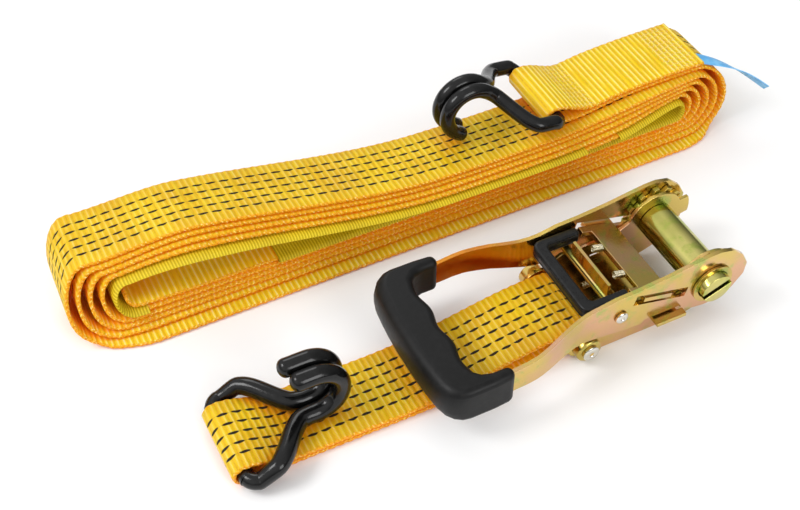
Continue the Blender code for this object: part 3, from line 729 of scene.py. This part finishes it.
def loop_run():
    """From the sewn end over the coil, round the hook's crossbar and back to the first turn."""
    fold_x, fold_z = HOOK_B.x - SPINDLE.x, HOOK_B.z
    first = right_turn(1)[0]
    points = []
    for x in spread(CUT_END_X, fold_x + 3 * MM, 56):
        flat = coil_height(x) + 2 * LAYER
        rise = (fold_z + FOLD_R - flat) * smooth((fold_x + 34 * MM - x) / (34 * MM))
        points.append((x, loop_edge(x), flat + rise))
    for x, z in arc(fold_x, fold_z, FOLD_R, 98, 262, 36):
        points.append((x, loop_edge(x), z))
    start = points[-1]
    for x in spread(fold_x + 2 * MM, first[0], 48)[:-1]:
        z = coil_height(x) + LAYER
        z += (start[2] - z) * (1 - smooth((x - fold_x) / (30 * MM)))
        z += (first[2] - z) * smooth((x - first[0]) / (30 * MM) + 1)
        points.append((x, loop_edge(x), z))
    return points


def far_side(x, y, z):
    """The far edge: the upper runs sit a little lower there than at the near edge."""
    inwards = 2 * MM * smooth((-x / MM - 285) / 75)
    at_left = smooth((-x / MM - 290) / 60)
    share = 0.08 * (1 - smooth((x / MM + 60) / 150)) * (1 - at_left) + 0.05 * at_left
    drop = share * coil_height(x) * smooth((z / MM - 19.6) / 8)
    return (SPINDLE.x + x + inwards, y, z - drop)


def coil_rows(points, extra=0.0):
    """Rows of (near, far) points, wider than the webbing by extra on each side."""
    return [
        ((SPINDLE.x + x, y - extra, z), far_side(x, y + WEB_WIDTH + extra, z)) for x, y, z in points
    ]


def make_long_strap():
    rows = [((SPINDLE.x + x, y, z), (SPINDLE.x + x, y + WEB_WIDTH, z)) for x, y, z in loop_run()]
    for _, run in coil_runs():
        rows += coil_rows(run)
    mesh, length = band_mesh(rows)
    obj = new_object("long_strap_webbing", mesh, "sewn_webbing", "coil", 60)
    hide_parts("long_strap")


def sleeve_mesh(points):
    """A flat tube round the webbing, open at both ends."""
    side = 2.5 * MM
    near, far, places, length = resampled(coil_rows(points, side), SLEEVE_RIB / 2)
    middle = (near + far) / 2
    tangent = unit(np.gradient(middle, axis=0))
    across = unit(far - near)
    normal = np.cross(across, tangent)
    bm = bmesh.new()
    uv = bm.loops.layers.uv.new("UVMap")
    half_w, half_t = WEB_WIDTH / 2 + side, WEB_THICK / 2 + 0.12 * MM
    outer_w, outer_t = half_w + 0.6 * MM, half_t + 0.45 * MM
    shape = [(-1.0, 0.0), (-0.972, 0.42), (-0.925, 0.82), (-0.87, 1.0), (-0.4, 1.0), (0.4, 1.0)]
    shape += [(0.87, 1.0), (0.925, 0.82), (0.972, 0.42), (1.0, 0.0)]
    shape += [(a, -h) for a, h in reversed(shape[1:-1])]
    outer, inner = [], []
    for i in range(len(middle)):
        wave = 1 + 0.03 * math.cos(2 * math.pi * places[i] / SLEEVE_RIB)
        ring_o, ring_i = [], []
        for a, h in shape:
            outside = middle[i] + across[i] * a * outer_w + normal[i] * h * outer_t * wave
            inside = middle[i] + across[i] * a * half_w + normal[i] * h * half_t
            ring_o.append(bm.verts.new(outside))
            ring_i.append(bm.verts.new(inside))
        outer.append(ring_o)
        inner.append(ring_i)
    count = len(shape)
    for i in range(len(middle) - 1):
        for c in range(count):
            d = (c + 1) % count
            for rings, flip in ((outer, False), (inner, True)):
                quad = [rings[i][c], rings[i][d], rings[i + 1][d], rings[i + 1][c]]
                ends = [(c, i), (d, i), (d, i + 1), (c, i + 1)]
                if flip:
                    quad.reverse()
                    ends.reverse()
                face = bm.faces.new(quad)
                for loop, (which, k) in zip(face.loops, ends):
                    loop[uv].uv = (places[k], shape[which][0] * half_w + shape[which][1] * half_t)
    for i in (0, len(middle) - 1):
        for c in range(count):
            d = (c + 1) % count
            bm.faces.new((outer[i][c], outer[i][d], inner[i][d], inner[i][c]))
    return mesh_from(bm, "sleeve"), length


def make_sleeves():
    runs = dict(coil_runs())
    first = [p for p in runs["lower_5"] if p[0] < -309 * MM] + runs["left_5"]
    first += [p for p in runs["upper_5"] if p[0] < 0]
    second = [p for p in runs["upper_5"] if p[0] > 18 * MM] + runs["right_6"]
    second += [p for p in runs["lower_6"] if p[0] > -232 * MM]
    for points, side in ((first, "left"), (second, "right")):
        mesh, length = sleeve_mesh(points)
        obj = new_object(f"wear_sleeve_{side}_weave", mesh, "sleeve", "coil", 60)
        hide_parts(f"wear_sleeve_{side}")


LABEL_HALF_WIDTH = 6.5 * MM
LABEL_HALF_THICK = 0.28 * MM
LABEL_RING = ((-1, 1), (-0.3, 1), (0.3, 1), (1, 1), (1, -1), (0.3, -1), (-0.3, -1), (-1, -1))


def make_label():
    """A narrow ribbon that leaves the sewn end flat, and twists and sags to its tip."""
    start = Vector((CUT_END_X + GAP, 128 * MM, coil_height(CUT_END_X) + 1.5 * LAYER))
    end = Vector((146 * MM, 101 * MM, 28 * MM))
    flat, twisted = Vector((0, 1, 0)), Vector((0.3, 0.61, -0.73))
    bm = bmesh.new()
    uv = bm.loops.layers.uv.new("UVMap")
    rings = []
    steps = 40
    for i in range(steps + 1):
        t = i / steps
        place = start.lerp(end, t)
        place.z += 5 * MM * math.sin(math.pi * t)
        across = flat.lerp(twisted, smooth(t)).normalized() * LABEL_HALF_WIDTH
        normal = across.cross(end - start).normalized() * LABEL_HALF_THICK
        curl = Vector((0, 0, 0.5 * MM * math.sin(7 * t)))
        ring = []
        for a, h in LABEL_RING:
            point = place + across * a + normal * h + curl * (1 - a * a)
            ring.append(bm.verts.new(Vector((SPINDLE.x, 0, 0)) + point))
        rings.append(ring)
    count = len(LABEL_RING)
    for i, (one, two) in enumerate(zip(rings, rings[1:])):
        for c in range(count):
            d = (c + 1) % count
            face = bm.faces.new((one[c], one[d], two[d], two[c]))
            for loop, (which, k) in zip(face.loops, ((c, i), (d, i), (d, i + 1), (c, i + 1))):
                loop[uv].uv = (k * 1.2 * MM, LABEL_RING[which][0] * LABEL_HALF_WIDTH)
    bm.faces.new(list(reversed(rings[0])))
    bm.faces.new(rings[-1])
    obj = new_object("label_tag_cloth", mesh_from(bm, "label"), "label", "coil", 60)
    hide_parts("label_tag")


# ---------------------------------------------------------------- hooks


HOOK_CURL_R = 17 * MM
HOOK_REACH = 51 * MM
HOOK_GAP = 5.3 * MM


def hump(along):
    """How far the arms rise from the crossbar's plane on their way to the curl."""
    return 6.2 * MM * smooth(along / (24 * MM)) - 1.8 * MM * smooth(along / MM / 22 - 1.2)


def hook_points(tip, side_gap):
    """Half of the rod's middle line, from the middle of the crossbar to the tip, as (along,
    across, towards the curl). The arms end side_gap from the middle."""
    half = [(0, 0, 0)]
    half += [(x, y, 0) for x, y in arc(6.5 * MM, 25 * MM, 6.5 * MM, 180, 90, 5)]
    for i in range(1, 9):
        t = i / 9
        along = 12 * MM + (HOOK_REACH - 18 * MM) * t
        across = side_gap + (31.5 * MM - side_gap) * (1 - smooth((t - 0.08) / 0.92))
        half.append((along, across, hump(along)))
    half.append((HOOK_REACH - 4 * MM, side_gap, hump(HOOK_REACH - 4 * MM)))
    base = hump(HOOK_REACH)
    curl = arc(HOOK_REACH, HOOK_CURL_R, HOOK_CURL_R, -90, 90, 14)
    half += [(x, side_gap, base + z) for x, z in curl]
    half.append((HOOK_REACH - tip, side_gap, base + 2 * HOOK_CURL_R))
    return half


def make_hook(node, body, origin, along, curl, tip, thick=0.0):
    """The coated rod. Its coating is thicker by thick away from the crossbar."""
    across = curl.cross(along)
    half = [(a, b, c + thick * smooth(a / MM / 16)) for a, b, c in hook_points(tip, HOOK_GAP + thick)]
    whole = list(reversed(half)) + [(a, -b, c) for a, b, c in half[1:]]
    dense = catmull([origin + along * a + across * b + curl * c for a, b, c in whole], 5)
    inset = 2.4 * MM
    first = dense[0] + (dense[1] - dense[0]).normalized() * inset
    last = dense[-1] + (dense[-2] - dense[-1]).normalized() * inset
    # The rod ends at the last point that is clear of both ends, so one tip is a little shorter.
    dense = [first] + [
        p for p in dense[1:-1] if min((p - first).length, (p - last).length) > inset
    ]
    run = np.concatenate([[0], np.cumsum([(b - a).length for a, b in zip(dense, dense[1:])])])
    from_middle = np.abs(run - run[-1] / 2) / MM
    radii = [ROD_R + thick * smooth((d - 36) / 24) for d in from_middle]
    obj = new_object(f"{node}_rod", tube_mesh(dense, radii, 24), "coated", body, 60)
    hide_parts(node)


# ---------------------------------------------------------------- grip


def moulded(name, node, body, loop, z, height, edge, material, belly=0.0):
    """A flat outline drawn up to a height, with soft edges. Points are millimetres from the
    spindle. The side furthest from the spindle bellies out by belly at mid height."""
    bm = bmesh.new()
    rings = []
    for level in (-1, -0.6, -0.25, 0.25, 0.6, 1):
        ring = []
        for x, y in loop:
            outside = smooth((-x - 172) / 16) * belly * abs(level) ** 2.6
            place = (SPINDLE.x + x * MM + outside, y * MM, z + level * height / 2)
            ring.append(bm.verts.new(place))
        rings.append(ring)
    add_loft(bm, rings)
    obj = new_object(name, mesh_from(bm, name), material, body, 60)
    add_bevel(obj, edge, 6, 50)
    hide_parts(node)


def make_grip():
    """The moulded handle: a bowed bar with an ear at each end, soft edges and finger waves."""
    half = [(-146.5, 51.6), (-160, 52.6), (-176, 52.6), (-182.5, 51.6), (-187, 49), (-190, 45)]
    half += [(-191.8, 39), (-192.8, 30), (-193.6, 20), (-194, 10)]
    outer = half + [(x, -y) for x, y in reversed(half)]
    waves = []
    for i in range(33):
        y = -35 + 70 * i / 32
        waves.append((-168 - 1.2 * math.cos(2 * math.pi * y / 28), y))
    ear = [(-146.5, -43.2), (-158, -43.2), (-164, -41.4), (-167.4, -38)]
    loop = outer + ear + waves + [(x, -y) for x, y in reversed(ear)]
    z, height, edge, belly = 31.5 * MM, 26.4 * MM, 4.1 * MM, 4 * MM
    name, node = "handle_grip_moulding", "handle_grip"
    moulded(name, node, "handle", loop, z, height, edge, "grip", belly)


def make_release_grip():
    """The dipped U-shaped pull of the drive pawl."""
    outer = [(-58, 31.4), (-84, 31.4)] + arc(-84, 25.4, 6, 105, 165, 4) + [(-90, 24)]
    inner = [(-82, 20)] + arc(-79, 22, 3, 165, 105, 4) + [(-58, 25)]
    loop = outer + [(x, -y) for x, y in reversed(outer)]
    loop += [(x, -y) for x, y in reversed(inner)] + inner
    z, height, edge = 41.5 * MM, 8.5 * MM, 2.9 * MM
    name, node = "release_grip_dip", "release_grip"
    moulded(name, node, "drive", loop, z, height, edge, "release")


# ---------------------------------------------------------------- springs


def make_spring(node, body, axis, length, radius):
    """A real helix in the space of the plain CAD spring."""
    wire, turns, per_turn = 0.45 * MM, 7, 16
    low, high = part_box(node)
    centre = (low + high) / 2
    radius -= wire
    side = Vector((0, 1, 0))
    up = axis.cross(side)
    points = []
    for i in range(turns * per_turn + 1):
        t = i / (turns * per_turn)
        a = 2 * math.pi * turns * t
        along = (t - 0.5) * (length - 2 * wire)
        round_axis = side * radius * math.cos(a) + up * radius * math.sin(a)
        points.append(centre + axis * along + round_axis)
    obj = new_object(f"{node}_coil", tube_mesh(points, wire, 8, False), "steel", body, 60)
    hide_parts(node)


# ---------------------------------------------------------------- turned pieces


def turned(name, body, centre, profile, material):
    """A piece turned round the line along Y through the centre. A profile point is (radius, y)."""
    bm = bmesh.new()
    rings = []
    sides = 48
    for radius, y in profile:
        ring = []
        for k in range(sides):
            a = 2 * math.pi * k / sides
            x, z = centre.x + radius * math.cos(a), centre.z + radius * math.sin(a)
            ring.append(bm.verts.new((x, y, z)))
        rings.append(ring)
    add_loft(bm, rings)
    return new_object(name, mesh_from(bm, name), material, body, 40)


def pressed_end(name, body, centre, face_y, out, radius, height):
    """A pressed-over rod end with a small dimple, standing proud of the face at face_y."""
    shape = ((0.98, 0.0), (1.0, 0.45), (0.86, 0.85), (0.6, 1.0), (0.35, 1.0), (0.25, 0.7))
    profile = [(radius * r, face_y + out * height * h) for r, h in shape]
    turned(name, body, centre, profile, "silver")


def make_turned():
    """The anchor nut's round collar, and the pressed ends of the anchor bolt and the rivet."""
    low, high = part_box("anchor_nut")
    outer, inner = low.y, high.y
    profile = [(7.9 * MM, inner), (8.4 * MM, inner - 0.5 * MM), (8.4 * MM, outer + 1.3 * MM)]
    profile += [(8.1 * MM, outer + 0.5 * MM), (7.4 * MM, outer + 0.05 * MM), (5.4 * MM, outer)]
    collar = turned("anchor_nut_collar", "base", BOLT, profile, "zinc_dark")
    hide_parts("anchor_nut")
    height = 1.6 * MM
    bolt_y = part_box("anchor_bolt")[0].y + 1.2 * MM
    pressed_end("anchor_bolt_end", "base", BOLT, bolt_y, -1, 5.4 * MM, height)
    low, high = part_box("handle_spacer")
    near_y, far_y = low.y + 0.8 * MM, high.y - 0.8 * MM
    pressed_end("handle_rivet_near", "handle", RIVET, near_y, -1, 4.1 * MM, height)
    pressed_end("handle_rivet_far", "handle", RIVET, far_y, 1, 4.1 * MM, height)


# ---------------------------------------------------------------- assembly

make_hook(
    "ratchet_end_hook", "ratchet_hook", HOOK_A, Vector((1, 0, 0)), Vector((0, 0, 1)), 14 * MM, 0.8 * MM
)
make_hook(
    "long_strap_hook",
    "strap_hook",
    HOOK_B,
    Vector((-math.cos(HOOK_B_TILT), 0, math.sin(HOOK_B_TILT))),
    Vector((-math.sin(HOOK_B_TILT), 0, -math.cos(HOOK_B_TILT))),
    9 * MM,
)
make_short_strap()
make_long_strap()
make_sleeves()
make_label()
make_grip()
make_release_grip()
for spring in ("drive_spring_near", "drive_spring_far"):
    make_spring(spring, "drive", PULL_AXIS, 8 * MM, 2.6 * MM)
for spring in ("lock_spring_near", "lock_spring_far"):
    make_spring(spring, "lock", Vector((-1, 0, 0)), 13.5 * MM, 2.4 * MM)

for node, body, material in (
    ("base_frame", "base", "zinc"),
    ("anchor_bolt", "base", "zinc"),
    ("anchor_sleeve", "base", "zinc"),
    ("lock_pawl", "lock", "zinc_dark"),
    ("spindle_half_upper", "spindle", "spindle"),
    ("spindle_half_lower", "spindle", "spindle"),
    ("ratchet_wheel_near", "spindle", "zinc_dark"),
    ("ratchet_wheel_far", "spindle", "zinc_dark"),
    ("spindle_washer_near", "spindle", "zinc_dark"),
    ("spindle_washer_far", "spindle", "zinc_dark"),
    ("handle_arm_near", "handle", "zinc"),
    ("handle_arm_far", "handle", "zinc_far"),
    ("handle_spacer", "handle", "zinc"),
    ("drive_pawl", "drive", "zinc"),
):
    dressed(node, body, material)
make_turned()
NODES["grip_core_bar"].data.materials.clear()
NODES["grip_core_bar"].data.materials.append(MATERIALS["steel"])


# ---------------------------------------------------------------- stage


def make_floor():
    size, sunk = 6.0, 0.2 * MM
    mesh = bpy.data.meshes.new("floor")
    corners = [(-size, -size), (size, -size), (size, size), (-size, size)]
    mesh.from_pydata([(x, y, -sunk) for x, y in corners], [], [(0, 1, 2, 3)])
    mesh.materials.append(floor_material())
    floor = bpy.data.objects.new("floor", mesh)
    bpy.context.scene.collection.objects.link(floor)


def make_world():
    """A white studio, brighter overhead and from the left, made by the direction in the world."""
    world = bpy.data.worlds.new("studio")
    world.use_nodes = True
    tree = world.node_tree
    place = tree.nodes.new("ShaderNodeTexCoord")
    parts = tree.nodes.new("ShaderNodeSeparateXYZ")
    tree.links.new(place.outputs["Generated"], parts.inputs[0])
    strength = None
    for axis, low, high, out_low, out_high in (
        (2, 0.02, 0.62, 0.32, 0.92),
        (0, 0.10, 0.85, 1.0, 0.45),
        (0, -0.25, -0.9, 1.0, 1.25),
    ):
        ramp = tree.nodes.new("ShaderNodeMapRange")
        ramp.interpolation_type = "SMOOTHSTEP"
        for i, value in enumerate((low, high, out_low, out_high)):
            ramp.inputs[i + 1].default_value = value
        tree.links.new(parts.outputs[axis], ramp.inputs[0])
        if strength is None:
            strength = ramp.outputs[0]
            continue
        product = tree.nodes.new("ShaderNodeMath")
        product.operation = "MULTIPLY"
        tree.links.new(strength, product.inputs[0])
        tree.links.new(ramp.outputs[0], product.inputs[1])
        strength = product.outputs[0]
    background = tree.nodes["Background"]
    tree.links.new(strength, background.inputs[1])
    background.inputs[0].default_value = (1, 1, 1, 1)
    bpy.context.scene.world = world


def make_lamps():
    target = Vector((-0.08, 0.06, 0.0))
    for name, place, size, power in (
        ("key", (-1.0, 0.25, 1.05), 0.5, 7),
        ("back", (0.1, 1.3, 1.1), 0.6, 3),
        ("front", (0.25, -1.25, 0.75), 0.7, 8),
    ):
        data = bpy.data.lights.new(name, "AREA")
        data.size = size
        data.energy = power
        lamp = bpy.data.objects.new(name, data)
        bpy.context.scene.collection.objects.link(lamp)
        lamp.location = place
        lamp.rotation_euler = (target - Vector(place)).to_track_quat("-Z", "Y").to_euler()


def make_camera():
    """The photo's viewpoint."""
    data = bpy.data.cameras.new("camera")
    data.lens = 58.5
    data.sensor_width = 36
    data.clip_start = 0.01
    camera = bpy.data.objects.new("camera", data)
    bpy.context.scene.collection.objects.link(camera)
    camera.location = (-0.3622, -0.4204, 0.6247)
    camera.rotation_euler = (math.radians(42.7), 0, math.radians(-26.5))
    bpy.context.scene.camera = camera


make_floor()
make_world()
make_lamps()
make_camera()
# Plain sRGB keeps the strong yellow of the webbing, which a film curve washes out.
bpy.context.scene.view_settings.view_transform = "Standard"
